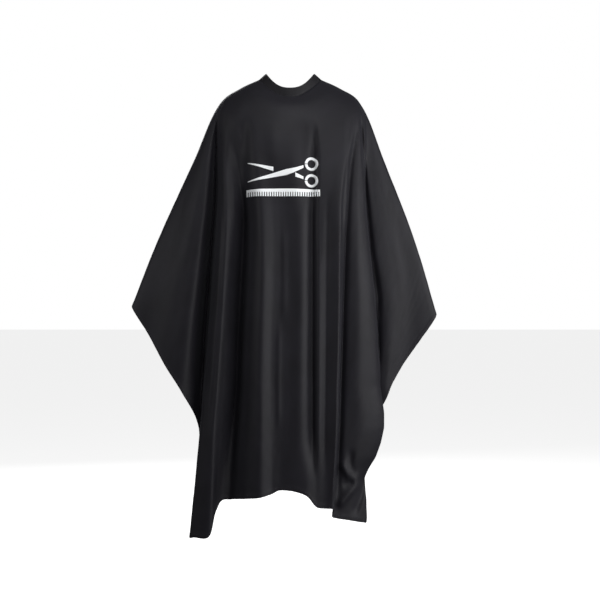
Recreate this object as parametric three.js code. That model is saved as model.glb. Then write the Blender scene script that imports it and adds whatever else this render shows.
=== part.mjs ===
// A barber's cape as it hangs when worn with the arms held out from the body.
// Millimetres, +Z up, the wearer faces -Y. The origin is the centre of the neck opening.
import * as THREE from 'three';
import { mergeVertices } from 'three/addons/utils/BufferGeometryUtils.js';

// ---------------------------------------------------------------- driving dimensions

// Neckband: a strip that stands round the neck, low at the front and the nape, high at the sides.
const NECK_HALF_WIDTH = 72;
const NECK_HALF_DEPTH = 64;
const BAND_HEIGHT = 28;
const BAND_TOP = { front: -33, side: 18, back: -14 };
const BAND_SADDLE_POWER = 2.4;
const BAND_SIDE_FLARE = 21;
const LAYER_THICKNESS = 0.7;
const LAYER_GAP = 0.3;

// The band is open at the nape: angles round the neck are 0 at the front and positive to the +X side.
const BAND_START_ANGLE = -177;
const BAND_END_ANGLE = 170.6;

// Closure tab: the band's free end, which laps over the other end and carries the studs.
const TAB_LENGTH = 62;
const TAB_HINGE_CLEARANCE = 1.8;
const TAB_ROOT_GAP = 0.4;
const TAB_RAMP_LENGTH = 12;
const TAB_TIP_ROUNDING = 0.75;

// Snap fasteners.
const SOCKET_COUNT = 5;
const STUD_COUNT = 2;
const SNAP_PITCH = 16;
const SNAP_RADIUS = 5.5;
const SNAP_SEAT_GAP = 0.6;
const SOCKET_HEIGHT = 1.8;
const STUD_HEAD_RADIUS = 2;
const STUD_HEAD_CLEARANCE = 0.35;
const STUD_HEAD_LENGTH = 1.7;
const STUD_FLANGE = 0.8;
const CAP_HEIGHT = 1.2;
const RING_HEIGHT = 0.9;
const RING_HOLE_RADIUS = 1.8;
const RING_RIM_CLEARANCE = 0.2;
const FIRST_SOCKET_FROM_END = 12;

// How finely the band, the tab and the snaps are divided.
const BAND_COLUMNS = 58;
const BAND_ROWS = 2;
const TAB_COLUMNS = 18;
const TAB_ROWS = 4;
const SNAP_SIDES = 24;

// Cape cloth, a thin sheet.
const CLOTH_THICKNESS = 1.6;
const CLOTH_SEAM_GAP = 1.6;
const PANEL_GAP = 1.2;

// The shoulders that the cloth lies on: two level rings of the drape, below the band.
const YOKE = { halfWidth: 152, front: 92, back: 82, frontDrop: 95, sideDrop: 27, backDrop: 78 };
const SHOULDER = { halfWidth: 213, front: 118, back: 104, frontDrop: 190, sideDrop: 72, backDrop: 160 };

// Overall drape: lowest front hem, half spread of the wings and drop to the wing tips.
const FRONT_DROP = 1236;
const HALF_SPREAD = 464;
const WING_DROP = 700;

// Chest print.
const PRINT = { x: -18, z: -312, halfWidth: 112, lift: 1.2, film: 0.4 };
const COMB = { spine: 7, crown: 3, tooth: 13, pitch: 7, slot: 2.8, drop: 39 };
const SHEARS = { x: 8, rise: 20, blade: 116, shank: 50, half: 9, tip: 1.2, neck: 4, open: 27, bow: 5,
  slit: 1.5, shankStart: 26, ring: 16, ringWidth: 8, ringLift: 8, ringSlit: 6, ringSides: 24, step: 8 };

// ---------------------------------------------------------------- guide threads of the drape

// The proportions of the drape are read at this spread and these drops, and scale with the three above.
const DRAWN = { spread: 464, front: 1236, wing: 700 };

// One row per guide thread, from the left edge of the nape slit round the front to its right edge: the angle
// where the thread leaves the band, then its points at the upper arm or chest, at the waist, and on the edge.
const BACK_LEFT = [
  [-177, [-7, 92, -215], [-10, 100, -255], [-14, 106, -300]],
  [-161, [-58, 116, -225], [-66, 130, -300], [-74, 136, -380]],
  [-149, [-104, 92, -235], [-118, 96, -345], [-130, 98, -455]],
  [-137, [-150, 110, -245], [-166, 128, -405], [-180, 136, -570]],
  [-128, [-188, 76, -250], [-206, 84, -445], [-220, 88, -640]],
  [-119, [-216, 92, -255], [-240, 116, -480], [-258, 126, -690]],
  [-111, [-240, 48, -275], [-276, 56, -520], [-302, 62, -770]],
  [-105, [-262, 62, -300], [-322, 80, -580], [-362, 86, -850]],
  [-99, [-284, 30, -300], [-368, 40, -590], [-418, 44, -800]],
];
const ARM_LEFT = [-92, [-295, 0, -250], [-400, 0, -480], [-482, -6, -690]];
const WING_LEFT = [
  [-88, [-288, -32, -290], [-374, -38, -590], [-427, -32, -778]],
  [-84, [-268, -52, -330], [-336, -62, -660], [-376, -58, -868]],
  [-80, [-246, -55, -360], [-294, -66, -750], [-324, -64, -950]],
];
const VALLEY_LEFT = [-76, [-234, -16, -412], [-264, -14, -793], [-276, -24, -1062]];
const FRONT = [
  [-72, [-218, -70, -412], [-248, -78, -840], [-300, -75, -1380]],
  [-66, [-194, -106, -412], [-218, -110, -850], [-256, -98, -1380]],
  [-59, [-168, -95, -415], [-196, -94, -870], [-224, -78, -1330]],
  [-50, [-138, -72, -415], [-158, -66, -880], [-192, -55, -1262]],
  [-41, [-105, -118, -418], [-116, -124, -880], [-128, -120, -1248]],
  [-30, [-82, -130, -420], [-87, -140, -890], [-88, -138, -1244]],
  [-19, [-46, -120, -420], [-55, -126, -890], [-52, -122, -1236]],
  [-8, [-18, -132, -420], [-25, -143, -890], [-35, -142, -1224]],
  [14, [46, -106, -420], [49, -104, -890], [49, -104, -1236]],
  [24, [80, -124, -420], [83, -132, -890], [80, -128, -1268]],
  [35, [115, -124, -420], [112, -130, -890], [105, -126, -1272]],
  [47, [148, -128, -415], [141, -134, -890], [128, -128, -1274]],
  [57, [164, -62, -412], [154, -56, -880], [130, -52, -1292]],
  [69, [200, -100, -412], [210, -106, -880], [174, -78, -1306]],
  [77, [224, -72, -412], [264, -66, -930], [226, -60, -1320]],
];
const VALLEY_RIGHT = [82, [232, -40, -412], [262, -28, -830], [252, -20, -1030]];
const WING_RIGHT = [
  [86, [250, -34, -390], [296, -34, -740], [290, -24, -962]],
  [89, [284, -26, -350], [342, -24, -660], [340, -14, -872]],
];
const ARM_RIGHT = [92, [288, 0, -250], [376, 0, -480], [446, -4, -715]];
const BACK_RIGHT = [
  [99, [280, 30, -300], [352, 40, -590], [392, 44, -815]],
  [105, [260, 62, -300], [312, 80, -580], [346, 86, -850]],
  [111, [240, 48, -275], [274, 56, -520], [298, 62, -780]],
  [119, [216, 92, -255], [238, 116, -480], [254, 126, -695]],
  [128, [188, 76, -250], [206, 84, -445], [220, 88, -640]],
  [137, [150, 110, -245], [166, 128, -405], [180, 136, -575]],
  [149, [104, 92, -235], [118, 96, -345], [130, 98, -460]],
  [161, [58, 116, -225], [66, 130, -300], [74, 136, -385]],
  [171, [13, 92, -215], [17, 100, -255], [22, 106, -305]],
];

// ---------------------------------------------------------------- materials

function finish(color, roughness, metalness) {
  return new THREE.MeshStandardMaterial({ color, roughness, metalness });
}

const CLOTH_BLACK = finish(0x17171a, 0.55, 0);
const BAND_BLACK = finish(0x141416, 0.6, 0);
const LINING_BLACK = finish(0x101012, 0.8, 0);
const INTERFACING_GREY = finish(0x8c8c88, 0.9, 0);
const SNAP_NICKEL = finish(0x9a9ca0, 0.3, 1);
const PRINT_WHITE = finish(0xf2f4f5, 0.45, 0);

const cape = new THREE.Group();

function addMesh(name, geometry, material, parent = cape) {
  const mesh = new THREE.Mesh(geometry, material);
  mesh.name = name;
  parent.add(mesh);
  return mesh;
}

// ---------------------------------------------------------------- shell of a curved sheet

// A closed thin shell. pointAt(u, v, side) gives its two faces: u and v run 0 to 1, side is 0 or 1.
// keep(i, j) leaves cells of the grid out.
function shellGeometry(pointAt, columns, rows, keep = () => true) {
  const positions = [];
  const index = [];
  const numbers = new Map();
  const at = (i, j, side) => {
    const key = `${i},${j},${side}`;
    if (!numbers.has(key)) {
      numbers.set(key, positions.length / 3);
      positions.push(...pointAt(i / columns, j / rows, side).toArray());
    }
    return numbers.get(key);
  };
  const quad = (a, b, c, d) => index.push(a, b, c, a, c, d);
  const kept = (i, j) => i >= 0 && j >= 0 && i < columns && j < rows && keep(i, j);
  for (let j = 0; j < rows; j += 1) {
    for (let i = 0; i < columns; i += 1) {
      if (kept(i, j)) {
        quad(at(i, j, 1), at(i, j + 1, 1), at(i + 1, j + 1, 1), at(i + 1, j, 1));
        quad(at(i, j, 0), at(i + 1, j, 0), at(i + 1, j + 1, 0), at(i, j + 1, 0));
        if (!kept(i, j - 1)) quad(at(i, j, 0), at(i, j, 1), at(i + 1, j, 1), at(i + 1, j, 0));
        if (!kept(i, j + 1)) quad(at(i, j + 1, 0), at(i + 1, j + 1, 0), at(i + 1, j + 1, 1), at(i, j + 1, 1));
        if (!kept(i - 1, j)) quad(at(i, j, 0), at(i, j + 1, 0), at(i, j + 1, 1), at(i, j, 1));
        if (!kept(i + 1, j)) quad(at(i + 1, j, 0), at(i + 1, j, 1), at(i + 1, j + 1, 1), at(i + 1, j + 1, 0));
      }
    }
  }
  const geometry = new THREE.BufferGeometry();
  geometry.setAttribute('position', new THREE.Float32BufferAttribute(positions, 3));
  geometry.setIndex(index);
  geometry.computeVertexNormals();
  return geometry;
}

// ---------------------------------------------------------------- neckband

const radians = THREE.MathUtils.degToRad;
const LAYER_STEP = LAYER_THICKNESS + LAYER_GAP;
const BAND_THICKNESS = 2 * LAYER_STEP + LAYER_THICKNESS;

// A value that is one at the front or the nape and another at the sides of the neck.
function roundNeck(angle, front, side, back) {
  const share = Math.abs(Math.sin(radians(angle))) ** BAND_SADDLE_POWER;
  const end = Math.cos(radians(angle)) > 0 ? front : back;
  return end + (side - end) * share;
}

// A point of the band: down is 0 at its top edge and 1 at its seam, offset is measured out from the lining.
function bandPoint(angle, down, offset) {
  const turn = radians(angle);
  const flare = BAND_SIDE_FLARE * Math.sin(turn) ** 4;
  const drop = Math.sqrt(BAND_HEIGHT ** 2 - flare ** 2);
  return new THREE.Vector3(
    (NECK_HALF_WIDTH + offset + flare * down) * Math.sin(turn),
    -(NECK_HALF_DEPTH + offset) * Math.cos(turn),
    roundNeck(angle, BAND_TOP.front, BAND_TOP.side, BAND_TOP.back) - drop * down,
  );
}

// The angle that lies a length along the band from another angle; a negative length goes to the -X side.
function angleAlong(from, length) {
  const step = 0.25 * Math.sign(length);
  let angle = from;
  let left = Math.abs(length);
  while (left > 0) {
    const stride = bandPoint(angle, 0.5, 0).setZ(0).distanceTo(bandPoint(angle + step, 0.5, 0).setZ(0));
    const share = Math.min(1, left / stride);
    angle += step * share;
    left -= stride;
  }
  return angle;
}

function buildNeckband() {
  const layers = [['neckband_lining', LINING_BLACK], ['neckband_interfacing', INTERFACING_GREY],
    ['neckband_outer', BAND_BLACK]];
  const sweep = BAND_END_ANGLE - BAND_START_ANGLE;
  layers.forEach(([name, material], number) => {
    const pointAt = (u, v, side) => bandPoint(
      BAND_START_ANGLE + sweep * u, v, number * LAYER_STEP + side * LAYER_THICKNESS);
    addMesh(name, shellGeometry(pointAt, BAND_COLUMNS, BAND_ROWS), material);
  });
}

// ---------------------------------------------------------------- closure tab

const HINGE_ANGLE = angleAlong(BAND_END_ANGLE, TAB_HINGE_CLEARANCE);
const SOCKET_SEAT = BAND_THICKNESS + SNAP_SEAT_GAP;
const STUD_SEAT = SOCKET_SEAT + SOCKET_HEIGHT + SNAP_SEAT_GAP;
const TAB_STANDOFF = STUD_SEAT + STUD_FLANGE + SNAP_SEAT_GAP;

// The tab leaves the band's end in line with it and ramps out over the snaps.
function tabPoint(along, down, offset) {
  const angle = angleAlong(HINGE_ANGLE, TAB_ROOT_GAP + along);
  const ramp = THREE.MathUtils.smoothstep(along, 0, TAB_RAMP_LENGTH);
  return bandPoint(angle, down, offset + TAB_STANDOFF * ramp);
}

function buildClosureTab() {
  const layers = [['tab_lining', LINING_BLACK], ['tab_interfacing', INTERFACING_GREY],
    ['tab_outer', BAND_BLACK]];
  layers.forEach(([name, material], number) => {
    const pointAt = (u, v, side) => {
      const along = TAB_LENGTH * u;
      const toTip = Math.min(1, (TAB_LENGTH - along) / (0.5 * BAND_HEIGHT));
      const taper = Math.sqrt(1 - TAB_TIP_ROUNDING * (1 - toTip) ** 2);
      return tabPoint(along, 0.5 + (v - 0.5) * taper, number * LAYER_STEP + side * LAYER_THICKNESS);
    };
    addMesh(name, shellGeometry(pointAt, TAB_COLUMNS, TAB_ROWS), material);
  });
}

// ---------------------------------------------------------------- snap fasteners

// Where a snap sits on the band at an angle, and the way it points, out from the neck.
function snapFrame(angle, seat) {
  const along = bandPoint(angle + 1, 0.5, seat).sub(bandPoint(angle - 1, 0.5, seat));
  const down = bandPoint(angle, 1, seat).sub(bandPoint(angle, 0, seat));
  return { middle: bandPoint(angle, 0.5, seat), out: down.cross(along).normalize() };
}

// A round piece turned about its own axis and seated on the band at an angle.
function seatSnap(name, profile, angle, seat, material) {
  const geometry = new THREE.LatheGeometry(profile.map(([r, y]) => new THREE.Vector2(r, y)), SNAP_SIDES);
  geometry.deleteAttribute('normal');
  geometry.deleteAttribute('uv');
  const { middle, out } = snapFrame(angle, seat);
  const mesh = addMesh(name, mergeVertices(geometry, 1e-4), material);
  mesh.position.copy(middle);
  mesh.quaternion.setFromUnitVectors(new THREE.Vector3(0, 1, 0), out);
}

const SOCKET_HOLE = STUD_HEAD_RADIUS + STUD_HEAD_CLEARANCE;
const SOCKET_PROFILE = [[SOCKET_HOLE, 0], [SNAP_RADIUS, 0], [SNAP_RADIUS, 0.5 * SOCKET_HEIGHT],
  [SNAP_RADIUS - 1.6, SOCKET_HEIGHT], [SOCKET_HOLE, SOCKET_HEIGHT], [SOCKET_HOLE, 0]];
const RING_RADIUS = SNAP_RADIUS - 0.6;
const RING_PROFILE = [[RING_HOLE_RADIUS, 0], [RING_RADIUS, 0.3], [RING_RADIUS, RING_HEIGHT],
  [RING_HOLE_RADIUS, RING_HEIGHT], [RING_HOLE_RADIUS, 0]];
const STUD_PROFILE = [[0, -STUD_HEAD_LENGTH], [STUD_HEAD_RADIUS - 0.5, -STUD_HEAD_LENGTH],
  [STUD_HEAD_RADIUS, 0.4 - STUD_HEAD_LENGTH], [STUD_HEAD_RADIUS - 0.3, 0], [SNAP_RADIUS - 0.6, 0],
  [SNAP_RADIUS - 0.6, STUD_FLANGE], [0, STUD_FLANGE]];
const CAP_PROFILE = [[0, 0], [SNAP_RADIUS, 0], [SNAP_RADIUS, 0.4], [SNAP_RADIUS - 1, 0.8 * CAP_HEIGHT],
  [SNAP_RADIUS - 2.5, CAP_HEIGHT], [0, CAP_HEIGHT]];

// The foot of a flat ring inside the band, far enough in that its rim stays clear where the band turns
// and leans.
function ringSeat(angle) {
  const { middle, out } = snapFrame(angle, 0);
  const lean = middle.clone().sub(bandPoint(angle, 0.5, -1)).dot(out);
  let turnedIn = 0;
  for (let step = 0; step < SNAP_SIDES; step += 1) {
    const turn = (2 * Math.PI * step) / SNAP_SIDES;
    const rimAngle = angleAlong(angle, RING_RADIUS * Math.cos(turn));
    const rim = bandPoint(rimAngle, 0.5 + (RING_RADIUS * Math.sin(turn)) / BAND_HEIGHT, 0);
    turnedIn = Math.max(turnedIn, middle.clone().sub(rim).dot(out));
  }
  const clear = (RING_HEIGHT + turnedIn + RING_RIM_CLEARANCE) / lean;
  return -Math.max(RING_HEIGHT + SNAP_SEAT_GAP, clear);
}

function buildSnaps() {
  const capSeat = TAB_STANDOFF + BAND_THICKNESS + SNAP_SEAT_GAP;
  for (let number = 0; number < SOCKET_COUNT; number += 1) {
    const angle = angleAlong(BAND_START_ANGLE, FIRST_SOCKET_FROM_END + number * SNAP_PITCH);
    seatSnap(`snap_socket_${number + 1}`, SOCKET_PROFILE, angle, SOCKET_SEAT, SNAP_NICKEL);
    seatSnap(`socket_ring_${number + 1}`, RING_PROFILE, angle, ringSeat(angle), SNAP_NICKEL);
    if (number < STUD_COUNT) {
      seatSnap(`snap_stud_${number + 1}`, STUD_PROFILE, angle, STUD_SEAT, SNAP_NICKEL);
      seatSnap(`stud_cap_${number + 1}`, CAP_PROFILE, angle, capSeat, SNAP_NICKEL);
    }
  }
}

// ---------------------------------------------------------------- cape cloth

function ringPoint(ring, angle) {
  const turn = radians(angle);
  const depth = Math.cos(turn) > 0 ? ring.front : ring.back;
  return new THREE.Vector3(ring.halfWidth * Math.sin(turn), -depth * Math.cos(turn),
    -roundNeck(angle, ring.frontDrop, ring.sideDrop, ring.backDrop));
}

// A drawn point of the drape, scaled to the cape's own spread and drops.
function drapePoint([x, y, z]) {
  const nearWing = THREE.MathUtils.smoothstep(Math.abs(x) / DRAWN.spread, 0.6, 0.9);
  const drop = THREE.MathUtils.lerp(FRONT_DROP / DRAWN.front, WING_DROP / DRAWN.wing, nearWing);
  return new THREE.Vector3(x * HALF_SPREAD / DRAWN.spread, y, z * drop);
}

function guideThread([angle, ...drawn]) {
  const seam = bandPoint(angle, 1 + CLOTH_SEAM_GAP / BAND_HEIGHT, 0.5 * BAND_THICKNESS);
  return new THREE.CatmullRomCurve3([seam, ringPoint(YOKE, angle), ringPoint(SHOULDER, angle),
    ...drawn.map(drapePoint)]);
}

const THREADS = [...BACK_LEFT, ARM_LEFT, ...WING_LEFT, VALLEY_LEFT, ...FRONT, VALLEY_RIGHT, ...WING_RIGHT,
  ARM_RIGHT, ...BACK_RIGHT];
const threadCurves = THREADS.map(guideThread);
const crossings = new Map();

// The middle of the cloth: thread counts across it, as a whole or part number, down is 0 to 1.
function clothPoint(thread, down) {
  if (!crossings.has(down)) {
    crossings.set(down, new THREE.CatmullRomCurve3(threadCurves.map((curve) => curve.getPoint(down))));
  }
  return crossings.get(down).getPoint(thread / (THREADS.length - 1));
}

// The way out from the wearer. first and last are the threads at the edges of the panel that it is read on.
function clothNormal(thread, down, first = 0, last = THREADS.length - 1) {
  const step = 0.02;
  const left = clothPoint(Math.max(first, thread - step), down);
  const across = clothPoint(Math.min(last, thread + step), down).sub(left);
  const low = Math.max(step, Math.min(1, down + step * 0.5));
  const along = clothPoint(thread, low).sub(clothPoint(thread, low - step));
  return along.cross(across).normalize();
}

// Columns from thread to thread, and how far down each row of the mesh lies.
const FRONT_PER_THREAD = 2;
const WING_PER_THREAD = 3;
const BACK_PER_THREAD = 2;
const ROW_STATIONS = [0, 0.1, 0.2, 0.3, 0.4, 0.47, 0.54, 0.6, 0.65, 0.7, 0.75, 0.8, 0.85, 0.9, 0.95, 1];

// A point that stands off the middle of the cloth, out from the wearer.
function raisedPoint(thread, down, lift, first, last) {
  return clothPoint(thread, down).addScaledVector(clothNormal(thread, down, first, last), lift);
}

// One panel of the cloth, from one thread to another. Its side edges stand back from them by half the gap.
function buildPanel(name, firstThread, lastThread, perThread) {
  const rows = ROW_STATIONS.length - 1;
  const first = THREADS.indexOf(firstThread);
  const last = THREADS.indexOf(lastThread);
  const pointAt = (u, v, side) => {
    const down = ROW_STATIONS[Math.round(v * rows)];
    const thread = THREE.MathUtils.lerp(first, last, u);
    const point = raisedPoint(thread, down, (side - 0.5) * CLOTH_THICKNESS, first, last);
    if (u === 0 || u === 1) {
      const inside = thread + (u === 0 ? 0.1 : -0.1);
      point.add(clothPoint(inside, down).sub(clothPoint(thread, down)).setLength(0.5 * PANEL_GAP));
    }
    return point;
  };
  addMesh(name, shellGeometry(pointAt, (last - first) * perThread, rows), CLOTH_BLACK);
}

function buildCloth() {
  const last = THREADS.length - 1;
  buildPanel('cloth_back_left', THREADS[0], ARM_LEFT, BACK_PER_THREAD);
  buildPanel('cloth_wing_left', ARM_LEFT, WING_LEFT[1], WING_PER_THREAD);
  buildPanel('cloth_front', WING_LEFT[1], VALLEY_RIGHT, FRONT_PER_THREAD);
  buildPanel('cloth_wing_right', VALLEY_RIGHT, ARM_RIGHT, WING_PER_THREAD);
  buildPanel('cloth_back_right', ARM_RIGHT, THREADS[last], BACK_PER_THREAD);
}

// ---------------------------------------------------------------- chest print

// Finds the thread and the share down it where the cloth passes a place seen from the front.
function placeOnCloth(x, z) {
  let thread = THREADS.indexOf(FRONT[7]);
  let down = 0.5;
  const step = 0.01;
  for (let round = 0; round < 12; round += 1) {
    const here = clothPoint(thread, down);
    const side = clothPoint(thread + step, down).sub(here).divideScalar(step);
    const along = clothPoint(thread, down + step).sub(here).divideScalar(step);
    const dx = x - here.x;
    const dz = z - here.z;
    const area = side.x * along.z - side.z * along.x;
    thread += THREE.MathUtils.clamp((dx * along.z - dz * along.x) / area, -2, 2);
    down += THREE.MathUtils.clamp((side.x * dz - side.z * dx) / area, -0.1, 0.1);
    down = THREE.MathUtils.clamp(down, 0.3, 0.75);
  }
  return [thread, down];
}

// A point on the flat facets between the front panel's own rows and columns.
function facetPoint(thread, down, lift) {
  const row = ROW_STATIONS.findLastIndex((station) => station <= down);
  const column = Math.floor(thread * FRONT_PER_THREAD);
  const share = thread * FRONT_PER_THREAD - column;
  const fall = (down - ROW_STATIONS[row]) / (ROW_STATIONS[row + 1] - ROW_STATIONS[row]);
  const corner = (i, j) => raisedPoint((column + i) / FRONT_PER_THREAD, ROW_STATIONS[row + j], lift);
  const [side, other] = fall > share ? [corner(0, 1), fall - share] : [corner(1, 0), share - fall];
  return side.multiplyScalar(other)
    .addScaledVector(corner(0, 0), 1 - Math.max(fall, share))
    .addScaledVector(corner(1, 1), Math.min(fall, share));
}

// A film on the chest. drawnAt(u, v) gives a place on the print, right and up from its centre.
function printFilm(name, drawnAt, columns, rows, keep) {
  const pointAt = (u, v, side) => {
    const [right, up] = drawnAt(u, v);
    const [thread, down] = placeOnCloth(PRINT.x + right, PRINT.z + up);
    return facetPoint(thread, down, 0.5 * CLOTH_THICKNESS + PRINT.lift + side * PRINT.film);
  };
  addMesh(name, shellGeometry(pointAt, columns, rows, keep), PRINT_WHITE);
}

// A comb: a crowned spine over a row of teeth.
function buildComb() {
  const teeth = Math.floor(2 * PRINT.halfWidth / COMB.pitch);
  const columns = 2 * teeth - 1;
  const left = -0.5 * teeth * COMB.pitch;
  const levels = [COMB.spine - COMB.drop, -COMB.drop, -COMB.drop - COMB.tooth];
  const drawnAt = (u, v) => {
    const edge = Math.round(u * columns);
    const right = left + Math.floor(edge / 2) * COMB.pitch + (edge % 2) * (COMB.pitch - COMB.slot);
    const crown = v === 0 ? COMB.crown * (1 - (right / left) ** 2) : 0;
    return [right, levels[Math.round(2 * v)] + crown];
  };
  printFilm('print_comb', drawnAt, columns, 2, (i, j) => j === 0 || i % 2 === 0);
}

// One half of a pair of open shears: its middle line, from the blade's tip through the screw to the shank's
// end. lean is 1 for the half whose ring is above and -1 for the other.
function shearLine(along, lean) {
  const slope = Math.tan(radians(SHEARS.open / 2));
  const bow = along > 0 ? SHEARS.bow * (along / SHEARS.shank) ** 2 : 0;
  return [SHEARS.x + along, SHEARS.rise + lean * (along * slope + bow)];
}

function shearHalfWidth(along) {
  const blade = THREE.MathUtils.mapLinear(along, -SHEARS.blade, 0, SHEARS.tip, SHEARS.half);
  const shank = THREE.MathUtils.mapLinear(along, 0, SHEARS.shank, SHEARS.half, SHEARS.neck);
  return along < 0 ? blade : shank;
}

function buildShearStrip(name, from, to, lean) {
  const drawnAt = (u, v) => {
    const along = THREE.MathUtils.lerp(from, to, u);
    const [x, y] = shearLine(along, lean);
    return [x, y + (1 - 2 * v) * shearHalfWidth(along)];
  };
  printFilm(name, drawnAt, Math.ceil((to - from) / SHEARS.step), 1);
}

function buildShearRing(name, lean) {
  const [x, y] = shearLine(SHEARS.shank, lean);
  const drawnAt = (u, v) => {
    const turn = radians(180 - SHEARS.ringSlit / 2 - u * (360 - SHEARS.ringSlit));
    const radius = SHEARS.ring + (0.5 - v) * SHEARS.ringWidth;
    return [x + SHEARS.ring + SHEARS.ringWidth + radius * Math.cos(turn),
      y + lean * SHEARS.ringLift + radius * Math.sin(turn)];
  };
  printFilm(name, drawnAt, SHEARS.ringSides, 1);
}

function buildPrint() {
  buildComb();
  const crossing = SHEARS.half / Math.tan(radians(SHEARS.open / 2)) + SHEARS.slit;
  buildShearStrip('print_shear_through', -SHEARS.blade, SHEARS.shank, 1);
  buildShearStrip('print_shear_blade', -SHEARS.blade, -crossing, -1);
  buildShearStrip('print_shear_shank', SHEARS.shankStart, SHEARS.shank, -1);
  buildShearRing('print_ring_upper', 1);
  buildShearRing('print_ring_lower', -1);
}

buildNeckband();
buildClosureTab();
buildSnaps();
buildCloth();
buildPrint();

export default cape;
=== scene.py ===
"""A black polyester barber's cape, hanging as it does when it is worn with the arms held out."""

import logging
import math
from collections.abc import Callable, Sequence
from dataclasses import dataclass, field
from enum import Enum

import bmesh
import bpy
import numpy as np
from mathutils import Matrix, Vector, noise
from mathutils.bvhtree import BVHTree


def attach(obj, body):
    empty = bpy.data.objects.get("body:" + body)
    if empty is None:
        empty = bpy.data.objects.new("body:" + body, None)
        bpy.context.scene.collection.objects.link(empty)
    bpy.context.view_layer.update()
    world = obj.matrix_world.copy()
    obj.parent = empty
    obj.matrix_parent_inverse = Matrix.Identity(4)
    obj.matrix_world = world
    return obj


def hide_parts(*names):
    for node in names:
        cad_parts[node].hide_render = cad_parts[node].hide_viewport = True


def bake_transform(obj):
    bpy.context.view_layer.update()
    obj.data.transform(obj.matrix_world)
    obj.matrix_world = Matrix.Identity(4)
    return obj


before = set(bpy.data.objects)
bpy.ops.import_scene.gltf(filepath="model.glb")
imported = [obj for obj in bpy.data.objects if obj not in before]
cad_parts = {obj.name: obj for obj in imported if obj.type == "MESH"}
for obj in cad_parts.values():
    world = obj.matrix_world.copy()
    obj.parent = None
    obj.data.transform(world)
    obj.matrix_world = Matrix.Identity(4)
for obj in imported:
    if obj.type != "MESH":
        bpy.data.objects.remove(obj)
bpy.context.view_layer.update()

LOG = logging.getLogger("barber_cape")
MM = 0.001
Row = tuple[float, ...]


class Body(Enum):
    """The two bodies of the cape."""

    CAPE = "cape"
    TAB = "closure_tab"


class Slot(Enum):
    """The record's material slots."""

    CLOTH = "cape_polyester"
    BAND = "band_polyester"
    METAL = "snap_metal"
    PRINT = "print_white"


# ---------------------------------------------------------------- small tools


def linear(code: str) -> tuple[float, float, float, float]:
    """Turns an sRGB hex colour into linear light.

    Args:
        code: The colour, such as "#1a1a1c".

    Returns:
        Red, green, blue and an alpha of one.
    """
    parts = [int(code[i : i + 2], 16) / 255 for i in (1, 3, 5)]
    lit = [c / 12.92 if c <= 0.04045 else ((c + 0.055) / 1.055) ** 2.4 for c in parts]
    return (lit[0], lit[1], lit[2], 1.0)


def smooth(value: np.ndarray | float, low: float, high: float) -> np.ndarray:
    """An S-curve that is 0 below low and 1 above high.

    Args:
        value: Where to read the curve.
        low: Where it leaves 0.
        high: Where it reaches 1.

    Returns:
        The curve's value.
    """
    share = np.clip((np.asarray(value, float) - low) / (high - low), 0, 1)
    return share * share * (3 - 2 * share)


def spline(points: np.ndarray, places: np.ndarray) -> np.ndarray:
    """Centripetal splines through several rows of points at once.

    Args:
        points: An array of n points for each of m curves, n by m by 3.
        places: Where to read each curve, 0 at its first point and 1 at its last.

    Returns:
        The places on each curve, len(places) by m by 3.
    """
    count = len(points)
    whole = np.clip(places, 0, 1) * (count - 1)
    first = np.minimum(whole.astype(int), count - 2)
    share = (whole - first)[:, None, None]
    long = np.concatenate([2 * points[:1] - points[1:2], points, 2 * points[-1:] - points[-2:-1]])
    x0, x1, x2, x3 = (long[first + k] for k in range(4))

    def gap(a: np.ndarray, b: np.ndarray) -> np.ndarray:
        """The spline's own measure of the way from a to b."""
        return np.maximum(((b - a) ** 2).sum(-1, keepdims=True) ** 0.25, 1e-6)

    d0, d1, d2 = gap(x0, x1), gap(x1, x2), gap(x2, x3)
    t1 = ((x1 - x0) / d0 - (x2 - x0) / (d0 + d1) + (x2 - x1) / d1) * d1
    t2 = ((x2 - x1) / d1 - (x3 - x1) / (d1 + d2) + (x3 - x2) / d2) * d1
    c2 = -3 * x1 + 3 * x2 - 2 * t1 - t2
    c3 = 2 * x1 - 2 * x2 + t1 + t2
    return x1 + share * (t1 + share * (c2 + share * c3))


def lengths_along(points: np.ndarray, axis: int) -> np.ndarray:
    """The running length of a grid's lines.

    Args:
        points: A grid of points, with x, y, z last.
        axis: The grid axis that the lines run along.

    Returns:
        The length from each line's start to each of its points.
    """
    steps = np.linalg.norm(np.diff(points, axis=axis), axis=-1)
    zero = np.zeros_like(np.take(steps, [0], axis=axis))
    return np.concatenate([zero, np.cumsum(steps, axis=axis)], axis=axis)


def grid_normals(points: np.ndarray) -> np.ndarray:
    """The normals of a grid of points.

    Args:
        points: The grid, rows by columns by 3.

    Returns:
        Unit normals, with the same shape.
    """
    down = np.gradient(points, axis=0)
    across = np.gradient(points, axis=1)
    normals = np.cross(down, across)
    return normals / np.maximum(np.linalg.norm(normals, axis=-1, keepdims=True), 1e-12)


def mesh_piece(name: str, points: np.ndarray, faces: list[tuple[int, ...]]) -> bpy.types.Object:
    """Makes a smooth mesh object.

    Args:
        name: The piece's name.
        points: Its vertices, n by 3, in metres.
        faces: Its faces, as vertex numbers.

    Returns:
        The new object.
    """
    mesh = bpy.data.meshes.new(name)
    mesh.from_pydata(points.reshape(-1, 3).tolist(), [], faces)
    work = bmesh.new()
    work.from_mesh(mesh)
    bmesh.ops.recalc_face_normals(work, faces=work.faces)
    work.to_mesh(mesh)
    work.free()
    mesh.polygons.foreach_set("use_smooth", [True] * len(mesh.polygons))
    mesh.update()
    piece = bpy.data.objects.new(name, mesh)
    bpy.context.scene.collection.objects.link(piece)
    return piece


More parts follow.
